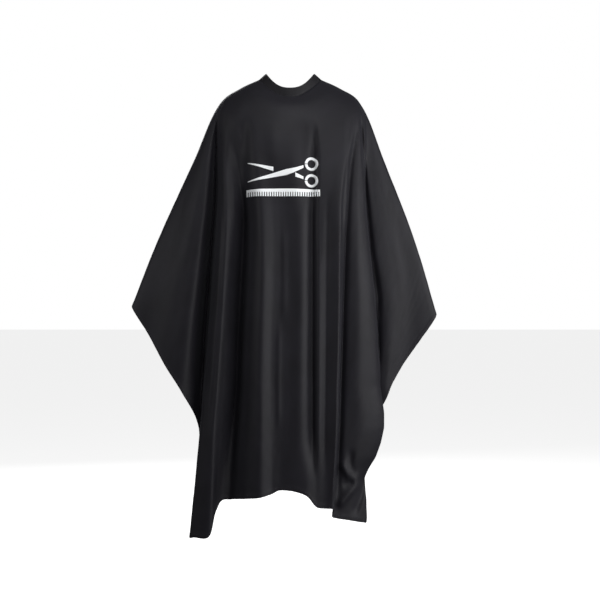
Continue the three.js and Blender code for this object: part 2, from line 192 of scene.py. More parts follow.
def sheet_faces(rows: int, columns: int, closed_across: bool = False) -> list[tuple[int, ...]]:
    """Faces of a closed sheet whose outer grid comes first and inner grid second.

    Args:
        rows: Rows of points in each grid.
        columns: Columns of points in each grid.
        closed_across: Whether the last column joins the first.

    Returns:
        The faces, with their fronts out.
    """
    layer = rows * columns
    spans = columns if closed_across else columns - 1

    def at(j: int, i: int, side: int) -> int:
        """The number of a point."""
        return side * layer + j * columns + i % columns

    faces = []
    for j in range(rows - 1):
        for i in range(spans):
            faces.append((at(j, i, 0), at(j + 1, i, 0), at(j + 1, i + 1, 0), at(j, i + 1, 0)))
            faces.append((at(j, i, 1), at(j, i + 1, 1), at(j + 1, i + 1, 1), at(j + 1, i, 1)))
    for i in range(spans):
        faces.append((at(0, i, 1), at(0, i, 0), at(0, i + 1, 0), at(0, i + 1, 1)))
        faces.append((at(rows - 1, i, 0), at(rows - 1, i, 1), at(rows - 1, i + 1, 1), at(rows - 1, i + 1, 0)))
    if not closed_across:
        for j in range(rows - 1):
            last = columns - 1
            faces.append((at(j, 0, 0), at(j, 0, 1), at(j + 1, 0, 1), at(j + 1, 0, 0)))
            faces.append((at(j, last, 1), at(j, last, 0), at(j + 1, last, 0), at(j + 1, last, 1)))
    return faces


def tube_faces(rings: int, sides: int) -> list[tuple[int, ...]]:
    """Faces of a closed tube with flat ends.

    Args:
        rings: Rings of points along it.
        sides: Points in each ring.

    Returns:
        The faces.
    """
    faces = [(j * sides + i, (j + 1) * sides + i, (j + 1) * sides + (i + 1) % sides,
              j * sides + (i + 1) % sides)
             for j in range(rings - 1) for i in range(sides)]
    return [*faces, tuple(range(sides)), tuple((rings - 1) * sides + i for i in reversed(range(sides)))]


def film_piece(name: str, outer: list[np.ndarray], inner: list[np.ndarray],
               keeps: list[np.ndarray]) -> bpy.types.Object:
    """Makes one object of several thin closed films, each a grid with some of its cells left out.

    Args:
        name: The piece's name.
        outer: The outer face of each film, rows by columns by 3.
        inner: The inner face of each film.
        keeps: Which cells of each grid are there.

    Returns:
        The new object.
    """
    points: list[np.ndarray] = []
    faces: list[tuple[int, ...]] = []
    for top, under, keep in zip(outer, inner, keeps):
        numbers: dict[tuple[int, int, int], int] = {}
        there = np.pad(keep, 1)

        def at(j: int, i: int, side: int) -> int:
            """The number of a point, which is added when it is first met."""
            if (j, i, side) not in numbers:
                numbers[j, i, side] = len(points)
                points.append((top, under)[side][j, i])
            return numbers[j, i, side]

        for j, i in zip(*np.nonzero(keep)):
            faces.append((at(j, i, 0), at(j + 1, i, 0), at(j + 1, i + 1, 0), at(j, i + 1, 0)))
            faces.append((at(j, i, 1), at(j, i + 1, 1), at(j + 1, i + 1, 1), at(j + 1, i, 1)))
            for dj, di, a, b in ((0, 1, (j, i), (j, i + 1)), (2, 1, (j + 1, i), (j + 1, i + 1)),
                                 (1, 0, (j, i), (j + 1, i)), (1, 2, (j, i + 1), (j + 1, i + 1))):
                if not there[j + dj, i + di]:
                    faces.append((at(*a, 0), at(*b, 0), at(*b, 1), at(*a, 1)))
    return mesh_piece(name, np.array(points), faces)


def write_uv(piece: bpy.types.Object, flat: np.ndarray) -> None:
    """Gives a piece its flat coordinates, in metres, as a UV map.

    Args:
        piece: The mesh object.
        flat: Two numbers for each vertex.
    """
    layer = piece.data.uv_layers.new(name="flat")
    loops = np.zeros(len(piece.data.loops), np.int32)
    piece.data.loops.foreach_get("vertex_index", loops)
    layer.data.foreach_set("uv", flat.reshape(-1, 2)[loops].astype(np.float32).ravel())


# ---------------------------------------------------------------- materials


def add_node(tree: bpy.types.NodeTree, kind: str, settings: dict | None = None, links: dict | None = None,
             values: dict | None = None) -> bpy.types.Node:
    """Adds a shader node.

    Args:
        tree: The material's node tree.
        kind: The node's type name.
        settings: Properties to set on it.
        links: Its input names, each with the output socket to join to it.
        values: Its input names, each with a fixed value.

    Returns:
        The new node.
    """
    node = tree.nodes.new(kind)
    for key, value in (settings or {}).items():
        setattr(node, key, value)
    for key, value in (values or {}).items():
        node.inputs[key].default_value = value
    for key, socket in (links or {}).items():
        tree.links.new(socket, node.inputs[key])
    return node


@dataclass(frozen=True)
class WovenFinish:
    """Plain-woven polyester: fine round threads, pressed flat, so its gloss is soft and broad."""

    name: str
    colour: str
    worn_colour: str
    roughness: float
    sheen: float
    thread: float  # metres from thread to thread, drawn coarser than the real 0.12 mm so that it shows
    relief: float
    crumple: float = 0.0

    def material(self) -> bpy.types.Material:
        """Builds the material.

        Returns:
            The node material.
        """
        made = bpy.data.materials.new(self.name)
        made.use_nodes = True
        tree = made.node_tree
        shader = tree.nodes["Principled BSDF"]
        shader.inputs["Roughness"].default_value = self.roughness
        shader.inputs["Specular IOR Level"].default_value = 0.2
        shader.inputs["IOR"].default_value = 1.54
        shader.inputs["Sheen Weight"].default_value = self.sheen
        shader.inputs["Sheen Roughness"].default_value = 0.45
        shader.inputs["Sheen Tint"].default_value = linear("#c9cbd6")
        flat = add_node(tree, "ShaderNodeUVMap", {"uv_map": "flat"}).outputs["UV"]
        around = 2 * math.pi / self.thread
        # Warp and weft are two sets of ribs at right angles.
        parts = add_node(tree, "ShaderNodeSeparateXYZ", links={"Vector": flat})
        warp = self._rib(tree, parts.outputs["X"], around)
        weft = self._rib(tree, parts.outputs["Y"], around)
        weave = add_node(tree, "ShaderNodeMath", {"operation": "MULTIPLY"}, {0: warp, 1: weft}).outputs[0]
        cloud = add_node(tree, "ShaderNodeTexNoise", links={"Vector": flat},
                         values={"Scale": 9.0, "Detail": 4.0, "Roughness": 0.55})
        ramp = add_node(tree, "ShaderNodeValToRGB", links={"Fac": cloud.outputs["Fac"]})
        ramp.color_ramp.elements[0].position, ramp.color_ramp.elements[1].position = 0.3, 0.7
        ramp.color_ramp.elements[0].color = linear(self.colour)
        ramp.color_ramp.elements[1].color = linear(self.worn_colour)
        tree.links.new(ramp.outputs["Color"], shader.inputs["Base Color"])
        fine = add_node(tree, "ShaderNodeTexNoise", links={"Vector": flat},
                        values={"Scale": 140.0, "Detail": 3.0, "Roughness": 0.6})
        threads = add_node(tree, "ShaderNodeBump", links={"Height": weave},
                           values={"Strength": self.relief, "Distance": 0.0002})
        creases = add_node(tree, "ShaderNodeBump",
                           links={"Height": fine.outputs["Fac"], "Normal": threads.outputs[0]},
                           values={"Strength": self.crumple, "Distance": 0.0006})
        tree.links.new(creases.outputs["Normal"], shader.inputs["Normal"])
        return made

    def _rib(self, tree: bpy.types.NodeTree, place: bpy.types.NodeSocket,
             around: float) -> bpy.types.NodeSocket:
        """Ribs across one direction.

        Args:
            tree: The node tree.
            place: The coordinate across the ribs, in metres.
            around: Radians per metre.

        Returns:
            A height from -1 to 1.
        """
        turn = add_node(tree, "ShaderNodeMath", {"operation": "MULTIPLY"}, {0: place}, {1: around})
        return add_node(tree, "ShaderNodeMath", {"operation": "SINE"}, {0: turn.outputs[0]}).outputs[0]


@dataclass(frozen=True)
class InkFinish:
    """Screen-printed ink: an opaque film that fills the weave, so it is smoother than the cloth."""

    name: str = "screen_print_ink"
    colour: str = "#f4f6f7"

    def material(self) -> bpy.types.Material:
        """Builds the material.

        Returns:
            The node material.
        """
        made = bpy.data.materials.new(self.name)
        made.use_nodes = True
        tree = made.node_tree
        shader = tree.nodes["Principled BSDF"]
        shader.inputs["Roughness"].default_value = 0.42
        place = add_node(tree, "ShaderNodeTexCoord").outputs["Object"]
        grain = add_node(tree, "ShaderNodeTexNoise", links={"Vector": place},
                         values={"Scale": 900.0, "Detail": 2.0})
        ramp = add_node(tree, "ShaderNodeValToRGB", links={"Fac": grain.outputs["Fac"]})
        ramp.color_ramp.elements[0].color = linear("#e9ecef")
        ramp.color_ramp.elements[1].color = linear(self.colour)
        tree.links.new(ramp.outputs["Color"], shader.inputs["Base Color"])
        bump = add_node(tree, "ShaderNodeBump", links={"Height": grain.outputs["Fac"]},
                        values={"Strength": 0.15, "Distance": 0.0002})
        tree.links.new(bump.outputs["Normal"], shader.inputs["Normal"])
        return made


@dataclass(frozen=True)
class NickelFinish:
    """Nickel plate on pressed brass: bright, with the fine orange peel that plating leaves."""

    name: str = "nickel_plate"
    colour: str = "#b9bbbd"

    def material(self) -> bpy.types.Material:
        """Builds the material.

        Returns:
            The node material.
        """
        made = bpy.data.materials.new(self.name)
        made.use_nodes = True
        tree = made.node_tree
        shader = tree.nodes["Principled BSDF"]
        shader.inputs["Metallic"].default_value = 1.0
        place = add_node(tree, "ShaderNodeTexCoord").outputs["Object"]
        wear = add_node(tree, "ShaderNodeTexNoise", links={"Vector": place},
                        values={"Scale": 500.0, "Detail": 4.0})
        shine = add_node(tree, "ShaderNodeMapRange", links={"Value": wear.outputs["Fac"]},
                         values={"To Min": 0.18, "To Max": 0.36})
        tree.links.new(shine.outputs["Result"], shader.inputs["Roughness"])
        ramp = add_node(tree, "ShaderNodeValToRGB", links={"Fac": wear.outputs["Fac"]})
        ramp.color_ramp.elements[0].color = linear("#8f9193")
        ramp.color_ramp.elements[1].color = linear(self.colour)
        tree.links.new(ramp.outputs["Color"], shader.inputs["Base Color"])
        return made


# ---------------------------------------------------------------- the neckband's shape


@dataclass(frozen=True)
class NeckForm:
    """The neckband as the CAD model has it: low at the front and the nape, high at the sides."""

    half_width: float = 72 * MM
    half_depth: float = 64 * MM
    height: float = 28 * MM
    top_front: float = -33 * MM
    top_side: float = 18 * MM
    top_back: float = -14 * MM
    saddle_power: float = 2.4
    side_flare: float = 21 * MM
    thickness: float = 2.7 * MM
    start: float = -177.0
    end: float = 170.6

    def round_neck(self, angle: np.ndarray, front: float, side: float, back: float) -> np.ndarray:
        """Blends a size from front or back to the side of the neck.

        Args:
            angle: Degrees round the neck, 0 at the front.
            front: The value at the front.
            side: The value at the sides.
            back: The value at the nape.

        Returns:
            The blended value.
        """
        turn = np.radians(angle)
        share = np.abs(np.sin(turn)) ** self.saddle_power
        end = np.where(np.cos(turn) > 0, front, back)
        return end + (side - end) * share

    def point(self, angle: np.ndarray, down: np.ndarray, offset: np.ndarray) -> np.ndarray:
        """A place on the band.

        Args:
            angle: Degrees round the neck.
            down: 0 at the top edge and 1 at the seam.
            offset: Metres out from the lining's inner face.

        Returns:
            Points, with x, y, z last.
        """
        angle, down, offset = np.broadcast_arrays(*map(np.asarray, (angle, down, offset)))
        turn = np.radians(angle)
        flare = self.side_flare * np.sin(turn) ** 4
        drop = np.sqrt(self.height**2 - flare**2)
        top = self.round_neck(angle, self.top_front, self.top_side, self.top_back)
        return np.stack([(self.half_width + offset + flare * down) * np.sin(turn),
                         -(self.half_depth + offset) * np.cos(turn), top - drop * down], axis=-1)

    def along(self, start: float, length: float) -> float:
        """The angle that lies a length along the band from another.

        Args:
            start: The first angle, in degrees.
            length: Metres along the band, negative towards the -X side.

        Returns:
            The angle in degrees.
        """
        step = math.copysign(0.1, length)
        angle, left = start, abs(length)
        while left > 0:
            a, b = self.point(angle, 0.5, 0.0), self.point(angle + step, 0.5, 0.0)
            stride = float(np.linalg.norm((a - b)[:2]))
            angle += step * min(1.0, left / stride)
            left -= stride
        return angle


# ---------------------------------------------------------------- the drape


@dataclass(frozen=True)
class Crease:
    """A line where the hanging cloth is pushed in, or stands out where the depth is negative.

    The places are (x, z) in millimetres, from the top down. The slopes on its two sides can differ.
    """

    places: tuple[tuple[float, float], ...]
    depth: float
    left: float
    right: float
    fade: float = 70.0

    def push(self, points: np.ndarray) -> np.ndarray:
        """How far the crease pushes each point in.

        Args:
            points: Places on the front of the cloth, in metres, with x, y, z last.

        Returns:
            Metres towards the wearer.
        """
        flat = points[..., (0, 2)] / MM
        line = np.array(self.places, float)
        best = np.full(flat.shape[:-1], 1e9)
        side = np.zeros_like(best)
        to_end = np.zeros_like(best)
        run = np.concatenate([[0.0], np.cumsum(np.linalg.norm(np.diff(line, axis=0), axis=1))])
        for start, end, done in zip(line[:-1], line[1:], run):
            way = end - start
            length = float(np.linalg.norm(way))
            way = way / length
            along = np.clip((flat - start) @ way, 0, length)
            off = flat - start - along[..., None] * way
            reach = np.linalg.norm(off, axis=-1)
            nearer = reach < best
            best = np.where(nearer, reach, best)
            side = np.where(nearer, way[0] * off[..., 1] - way[1] * off[..., 0], side)
            to_end = np.where(nearer, np.minimum(done + along, run[-1] - done - along), to_end)
        width = np.where(side > 0, self.right, self.left)
        return self.depth * MM * np.exp(-((best / width) ** 2)) * smooth(to_end, -1, self.fade)


@dataclass
class Drape:
    """The middle surface of the cloth, spun from guide threads that run from the band to the edge.

    Each thread's row gives the angle where it leaves the band, then its points in millimetres: at the upper
    arm or chest, at the waist and on the cloth's edge. A thread in between two folds lies in a valley.
    """

    neck: NeckForm
    columns_per_thread: int = 7
    rows_per_station: tuple[int, ...] = (8, 12, 26, 42, 56)
    hem_rows: tuple[float, ...] = (0.014, 0.012, 0.0105, 0.0015, 0.0)
    side_bulge: tuple[tuple[float, float], ...] = (
        (-930, 0), (-965, 6), (-1010, 15), (-1055, 19), (-1100, 14), (-1142, 4), (-1180, -14), (-1205, -22),
        (-1235, -16), (-1270, -8), (-1325, 0))
    creases: tuple[Crease, ...] = (
        # the fold's edge that falls from the shoulder on the +X side, and the slot behind it
        Crease(((196, -120), (183, -182), (173, -248), (166, -334), (158, -458), (150, -709), (141, -967),
                (131, -1290)), -5, 9, 5, 120),
        Crease(((212, -110), (196, -182), (184, -250), (176, -334), (168, -458), (160, -700), (151, -967),
                (141, -1290)), 8, 5, 8, 120),
        # where the +X wing leaves the body
        Crease(((212, -95), (226, -287), (236, -413), (249, -539), (267, -662), (268, -890)), 16, 5, 5, 90),
        # the deep hollow under the arm on the -X side
        Crease(((-212, -89), (-222, -278), (-232, -431), (-247, -632), (-262, -800), (-272, -1000)),
               24, 17, 19, 140),
        # the long hollow between the outer fold and the middle
        Crease(((-128, -230), (-137, -414), (-149, -551), (-157, -671), (-160, -932), (-168, -1010),
                (-185, -1157),
                (-199, -1250)), 27, 19, 27, 300),
        # bands over the chest
        Crease(((-140, -110), (-138, -200), (-137, -330)), 14, 20, 18),
        Crease(((72, -110), (74, -260), (68, -420), (68, -560), (69, -1210)), 22, 20, 8, 160),
        Crease(((84, -440), (84, -700), (83, -1210)), -4, 5, 12, 160),
        Crease(((-50, -130), (-48, -300)), -3, 22, 22),
        Crease(((38, -110), (40, -220), (44, -420)), 7, 18, 13),
        # thin creases down the middle
        Crease(((-17, -440), (-17, -600), (-18, -745)), -3, 5, 6),
        Crease(((-32, -730), (-34, -900), (-33, -1060)), -2.5, 5, 7),
        Crease(((12, -500), (8, -800), (2, -1180)), 2, 12, 12, 160),
        # between the twin ridges on each side
        Crease(((-196, -330), (-200, -500), (-209, -700), (-222, -880), (-240, -1080)), 5, 6, 7, 120),
        Crease(((112, -330), (110, -560), (106, -880), (102, -1180)), 4, 8, 7, 120),
        # the crumple in the front corner on the +X side
        Crease(((146, -1150), (172, -1192), (208, -1216)), -10, 6, 14, 22),
        Crease(((210, -1212), (176, -1252), (142, -1292)), -11, 12, 6, 22),
        Crease(((228, -1196), (214, -1260), (190, -1320)), 8, 12, 8, 26),
        Crease(((182, -1110), (180, -1165), (196, -1212)), 6, 8, 8, 26),
        Crease(((152, -1215), (170, -1222), (196, -1216)), 6, 8, 8, 18),
        # soft pulls across the wings
        Crease(((-262, -150), (-330, -420), (-372, -620)), 3, 30, 22, 160),
        Crease(((262, -170), (322, -420), (372, -640)), 3, 26, 26, 160),
    )
    back_left: tuple[Row, ...] = (
        (-177, -7, 92, -215, -10, 100, -255, -14, 106, -300),
        (-161, -58, 116, -225, -66, 130, -300, -74, 136, -380),
        (-149, -104, 92, -235, -118, 96, -345, -130, 98, -455),
        (-137, -150, 110, -245, -166, 128, -405, -180, 136, -570),
        (-128, -188, 76, -250, -206, 84, -445, -220, 88, -640),
        (-119, -216, 92, -255, -240, 116, -480, -258, 126, -690),
        (-111, -240, 48, -275, -276, 56, -520, -302, 62, -770),
        (-105, -262, 62, -300, -322, 80, -580, -362, 86, -850),
        (-99, -284, 30, -300, -364, 40, -580, -410, 44, -752),
    )
    left_wing: tuple[Row, ...] = (
        (-92, -295, 0, -250, -400, 0, -480, -482, -6, -690),
        (-88, -288, -32, -290, -374, -38, -590, -427, -32, -778),
        (-84, -268, -52, -330, -336, -62, -660, -376, -58, -868),
        (-80, -246, -55, -360, -294, -66, -750, -324, -64, -950),
        (-76, -234, -16, -412, -264, -14, -793, -276, -24, -1062),
    )
    front: tuple[Row, ...] = (
        (-73, -220, -62, -412, -250, -70, -838, -299, -72, -1366),
        (-72, -217, -74, -412, -246, -82, -841, -301, -75, -1383),
        (-71, -212, -84, -412, -240, -92, -843, -288, -82, -1381),
        (-66, -194, -106, -412, -218, -110, -850, -243, -98, -1378),
        (-59, -168, -95, -415, -196, -94, -870, -222, -80, -1304),
        (-55, -153, -82, -415, -177, -80, -875, -204, -68, -1272),
        (-50, -138, -74, -415, -158, -70, -880, -178, -60, -1270),
        (-41, -105, -118, -418, -116, -124, -880, -128, -120, -1260),
        (-30, -82, -134, -420, -87, -144, -890, -88, -142, -1254),
        (-19, -46, -124, -420, -55, -132, -890, -52, -129, -1244),
        (-8, -16, -122, -420, -22, -130, -890, -30, -127, -1234),
        (14, 46, -130, -420, 47, -139, -890, 47, -136, -1248),
        (24, 80, -124, -420, 83, -132, -890, 80, -128, -1284),
        (35, 115, -124, -420, 112, -130, -890, 105, -126, -1288),
        (47, 148, -128, -415, 141, -134, -890, 128, -128, -1290),
        (54, 160, -104, -412, 152, -104, -880, 127, -96, -1318),
        (60, 172, -104, -412, 168, -106, -880, 139, -92, -1322),
        (69, 200, -102, -412, 210, -108, -880, 180, -82, -1330),
        (75.5, 220, -84, -412, 254, -82, -925, 219, -68, -1338),
        (77, 226, -72, -412, 268, -66, -930, 230, -60, -1339),
        (78, 229, -62, -412, 272, -54, -926, 230, -54, -1322),
    )
    right_wing: tuple[Row, ...] = (
        (82, 232, -40, -412, 262, -28, -830, 252, -20, -1030),
        (86, 250, -34, -390, 296, -34, -740, 290, -24, -962),
        (89, 284, -26, -350, 342, -24, -660, 340, -14, -872),
        (92, 288, 0, -250, 376, 0, -480, 446, -4, -715),
    )
    back_right: tuple[Row, ...] = (
        (99, 280, 30, -300, 348, 40, -580, 384, 44, -758),
        (105, 260, 62, -300, 312, 80, -580, 346, 86, -850),
        (111, 240, 48, -275, 274, 56, -520, 298, 62, -780),
        (119, 216, 92, -255, 238, 116, -480, 254, 126, -695),
        (128, 188, 76, -250, 206, 84, -445, 220, 88, -640),
        (137, 150, 110, -245, 166, 128, -405, 180, 136, -575),
        (149, 104, 92, -235, 118, 96, -345, 130, 98, -460),
        (161, 58, 116, -225, 66, 130, -300, 74, 136, -385),
        (171, 13, 92, -215, 17, 100, -255, 22, 106, -305),
    )

    def threads(self) -> np.ndarray:
        """Every thread's points, from the nape round the front and back to the nape.

        Returns:
            Six points for each thread, threads by 6 by 3, in metres.
        """
        rows = self.back_left + self.left_wing + self.front + self.right_wing + self.back_right
        made = []
        for angle, *drawn in rows:
            seam = self.neck.point(angle, 0.94, self.neck.thickness * 0.5)
            yoke = self._ring(angle, 152, (92, 82), (95, 27, 78))
            shoulder = self._ring(angle, 213, (118, 104), (190, 72, 160))
            made.append([seam, yoke, shoulder, *np.array(drawn, float).reshape(-1, 3) * MM])
        return np.array(made)

    def _ring(self, angle: float, half_width: float, depths: tuple[float, float],
              drops: tuple[float, float, float]) -> np.ndarray:
        """A place on one of the level rings that the cloth lies on over the shoulders.

        Args:
            angle: Degrees round the neck.
            half_width: Of the ring, in millimetres.
            depths: How far it lies forward and back.
            drops: How far it lies below the origin at the front, side and back.

        Returns:
            The point, in metres.
        """
        turn = math.radians(angle)
        depth = depths[0] if math.cos(turn) > 0 else depths[1]
        drop = float(self.neck.round_neck(angle, *drops))
        return np.array([half_width * math.sin(turn), -depth * math.cos(turn), -drop]) * MM

    def surface(self) -> np.ndarray:
        """The grid of the cloth's middle surface.

        Returns:
            Rows by columns by 3, the first row at the band and the last on the cloth's edge.
        """
        threads = self.threads()
        stations = len(self.rows_per_station)
        places = [(k + j / n) / stations for k, n in enumerate(self.rows_per_station) for j in range(n)]
        rows = spline(threads.transpose(1, 0, 2), np.array([*places, 1.0]))
        columns = np.linspace(0, 1, (len(threads) - 1) * self.columns_per_thread + 1)
        sheet = spline(rows.transpose(1, 0, 2), columns).transpose(1, 0, 2)
        return self._crumple(self._hem_spacing(self._press(self._bulge(sheet))))

    def _bulge(self, sheet: np.ndarray) -> np.ndarray:
        """Swells the roll at the hip on the +X side and draws it in above the corner.

        Args:
            sheet: The grid of points.

        Returns:
            The grid with its bulge.
        """
        heights, moves = np.array(self.side_bulge).T
        move = np.interp(-sheet[..., 2] / MM, -heights, moves) * MM
        near = smooth(sheet[..., 0], 0.11, 0.235) * smooth(sheet[..., 2], -0.88, -0.95)
        near *= smooth(sheet[..., 1], 0.0, -0.03)
        return sheet + np.stack([move * near, 0 * near, 0 * near], axis=-1)

    def _press(self, sheet: np.ndarray) -> np.ndarray:
        """Presses the creases into the front.

        Args:
            sheet: The grid of points.

        Returns:
            The grid with its creases.
        """
        faces_front = smooth(grid_normals(sheet)[..., 1], 0.25, -0.35)
        push = sum(crease.push(sheet) for crease in self.creases) * faces_front
        return sheet + np.stack([0 * push, push, 0 * push], axis=-1)

    def _hem_spacing(self, sheet: np.ndarray) -> np.ndarray:
        """Moves rows along the threads so that the last few frame the hem.

        Args:
            sheet: The grid of points.

        Returns:
            The grid with its new rows.
        """
        run = lengths_along(sheet, 0)
        made = np.empty((len(sheet) + len(self.hem_rows) - 1, *sheet.shape[1:]))
        for i in range(sheet.shape[1]):
            whole = run[-1, i]
            wanted = np.concatenate([run[:-1, i] * (whole - self.hem_rows[0]) / run[-2, i],
                                     whole - np.array(self.hem_rows[1:] + (0.0,))[: len(self.hem_rows) - 1],
                                     [whole]])
            wanted = wanted[: len(made)]
            for k in range(3):
                made[:, i, k] = np.interp(wanted, run[:, i], sheet[:, i, k])
        return made

    def _crumple(self, sheet: np.ndarray) -> np.ndarray:
        """Adds the small uneven waves of thin cloth, long down the threads and short across them.

        Args:
            sheet: The grid of points.

        Returns:
            The grid with its waves.
        """
        across = lengths_along(sheet, 1).mean(axis=0)
        down = lengths_along(sheet, 0)
        wave = np.empty(sheet.shape[:2])
        for j in range(sheet.shape[0]):
            for i in range(sheet.shape[1]):
                a, b = across[i], down[j, i]
                wave[j, i] = (1.5 * noise.noise(Vector((a * 24, b * 2.6, 3.1)))
                              + 0.7 * noise.noise(Vector((a * 52, b * 7, 8.7)))
                              + 0.45 * noise.noise(Vector((a * 70 + b * 24, b * 34, 1.7))))
        # the cloth lies smooth over the shoulders and the crumple grows below them
        calm = smooth(down, 0.1, 0.5)
        return sheet + grid_normals(sheet) * (wave * calm * 0.9 * MM)[..., None]


# ---------------------------------------------------------------- the cape cloth


@dataclass
class CapeCloth:
    """The one large piece of cloth."""

    drape: Drape
    thickness: float = 0.5 * MM
    flat_size: tuple[float, float] = (1.45, 1.65)
    neck_hole_area: float = 0.0165
    hem_width: float = 12 * MM
    finish: WovenFinish = field(default_factory=lambda: WovenFinish(
        "polyester_taffeta", "#141318", "#1a191f", 0.58, 0.07, 0.0011, 0.1, 0.05))
    middle: np.ndarray = field(init=False)
    outer: np.ndarray = field(init=False)

    def build(self) -> bpy.types.Object:
        """Makes the cloth as a thin closed sheet.

        Returns:
            The cloth.
        """
        self.middle = self.drape.surface()
        normals = grid_normals(self.middle)
        to_edge = lengths_along(self.middle, 0)
        to_edge = to_edge[-1:] - to_edge
        hem_ramp, hem_swell = 0.0012, 0.7
        folded = smooth(to_edge, self.hem_width + hem_ramp, self.hem_width)
        swell = self.thickness * (0.5 + hem_swell * folded)[..., None]
        self.outer = self.middle + normals * swell
        inner = self.middle - normals * swell
        rows, columns = self.middle.shape[:2]
        points = np.concatenate([self.outer.reshape(-1, 3), inner.reshape(-1, 3)])
        piece = mesh_piece("cape_cloth", points, sheet_faces(rows, columns))
        flat = self._flat_places()
        write_uv(piece, np.concatenate([flat, flat]))
        return piece

    def _flat_places(self) -> np.ndarray:
        """Where each point lay on the cloth before it was hung.

        Returns:
            Two metres values for each point, in the grid's order.
        """
        reach = lengths_along(self.middle, 0) + self.drape.neck.half_depth
        hem = lengths_along(self.middle, 1)[-1]
        turn = (hem / hem[-1] - 0.5) * 2 * math.pi * 0.98
        return np.stack([reach * np.sin(turn), -reach * np.cos(turn)], axis=-1).reshape(-1, 2)

    def dress(self, piece: bpy.types.Object) -> None:
        """Args:
            piece: The cloth.
        """
        piece.data.materials.append(self.finish.material())
        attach(piece, Body.CAPE.value)
        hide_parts(*(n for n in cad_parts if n.startswith("cloth_")))


    def line(self, edge: "Edge", inset: float) -> tuple[np.ndarray, np.ndarray]:
        """A line on the cloth's middle that keeps its distance from an edge.

        Args:
            edge: Which edge.
            inset: Metres in from the edge.

        Returns:
            The line's points and the cloth's normals there.
        """
        normals = grid_normals(self.middle)
        both = np.concatenate([self.middle, normals], axis=-1)
        if edge is not Edge.HEM:
            both = both.transpose(1, 0, 2)
        if edge is not Edge.SLIT_LEFT:
            both = both[::-1]
        run = lengths_along(both[..., :3], 0)
        line = np.array([[np.interp(inset, run[:, i], both[:, i, k]) for k in range(6)]
                         for i in range(both.shape[1])])
        return line[:, :3], line[:, 3:] / np.linalg.norm(line[:, 3:], axis=1, keepdims=True)

    def outer_tree(self) -> BVHTree:
        """The outer face of the cloth, to lay things on."""
        rows, columns = self.outer.shape[:2]
        quads = [(j * columns + i, (j + 1) * columns + i, (j + 1) * columns + i + 1, j * columns + i + 1)
                 for j in range(rows - 1) for i in range(columns - 1)]
        return BVHTree.FromPolygons(self.outer.reshape(-1, 3).tolist(), quads)


class Edge(Enum):
    """The cloth's hemmed edges."""

    HEM = "hem"
    SLIT_LEFT = "slit_left"
    SLIT_RIGHT = "slit_right"


# ---------------------------------------------------------------- stitching and hems


@dataclass(frozen=True)
class Stitches:
    """A row of lockstitches, each a short arch of thread."""

    length: float = 2.6 * MM
    gap: float = 0.6 * MM
    radius: float = 0.23 * MM
    finish: WovenFinish = field(default_factory=lambda: WovenFinish(
        "spun_polyester_thread", "#202024", "#2c2c31", 0.5, 0.3, 0.0006, 0.5))

    def lay(self, path: np.ndarray, normals: np.ndarray) -> np.ndarray:
        """Lays stitches along a path.

        Args:
            path: Points on the cloth's surface.
            normals: The surface's normals there.

        Returns:
            Points, stitches by four rings by five by 3.
        """
        run = np.concatenate([[0.0], np.cumsum(np.linalg.norm(np.diff(path, axis=0), axis=1))])
        starts = np.arange(self.gap, run[-1] - self.length - self.gap, self.length + self.gap)
        share = np.array([0.0, 0.25, 0.75, 1.0])
        places = starts[:, None] + self.length * share

        def read(values: np.ndarray, where: np.ndarray) -> np.ndarray:
            """Values along the path at given lengths."""
            return np.stack([np.interp(where, run, values[:, k]) for k in range(3)], axis=-1)

        spots, up = read(path, places), read(normals, places)
        way = read(path, places + 0.2 * MM) - read(path, places - 0.2 * MM)
        side = np.cross(up, way)
        side /= np.maximum(np.linalg.norm(side, axis=-1, keepdims=True), 1e-12)
        thick = self.radius * np.array([0.45, 1.0, 1.0, 0.45])[None, :, None, None]
        turn = np.linspace(0, 2 * np.pi, 5, endpoint=False)[None, None, :, None]
        rise = self.radius * np.array([-0.3, 0.5, 0.5, -0.3])[None, :, None, None]
        return spots[:, :, None] + thick * (np.cos(turn) * side[:, :, None] + np.sin(turn) * up[:, :, None]) \
            + rise * up[:, :, None]

    def piece(self, name: str, rows: Sequence[np.ndarray]) -> bpy.types.Object:
        """Joins rows of stitches into one piece.

        Args:
            name: The piece's name.
            rows: What lay() gave for each row.

        Returns:
            The stitching, with its finish.
        """
        points = np.concatenate(rows)
        pattern = tube_faces(4, 5)
        faces = [tuple(20 * k + n for n in face) for k in range(len(points)) for face in pattern]
        made = mesh_piece(name, points, faces)
        write_uv(made, points.reshape(-1, 3)[:, (0, 2)])
        made.data.materials.append(self.finish.material())
        return made


